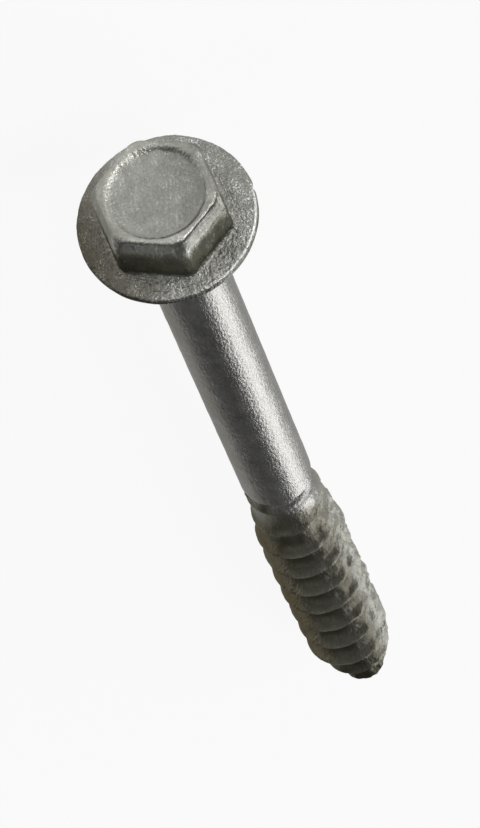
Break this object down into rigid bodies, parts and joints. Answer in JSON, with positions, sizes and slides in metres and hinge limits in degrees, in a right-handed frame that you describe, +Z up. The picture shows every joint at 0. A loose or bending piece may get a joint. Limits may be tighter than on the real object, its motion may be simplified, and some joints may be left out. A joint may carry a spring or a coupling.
{
  "type": "structural connector screw",
  "caption": "Galvanised hex washer head screw with a plain shank, a coarse wood thread and a blunt point, for fixing metal connectors to timber.",
  "frame": {"origin": "on the table under the middle of the screw's length and width, as it lies at rest", "axes": "+X towards the tip, along the length as seen from above, +Z up from the table"},
  "size_m": [0.0668, 0.009, 0.0091],
  "materials": {
    "galvanised_steel": "matt mechanically galvanised zinc"
  },
  "bodies": {
    "root": {"screw": "galvanised_steel"}
  },
  "joints": []
}
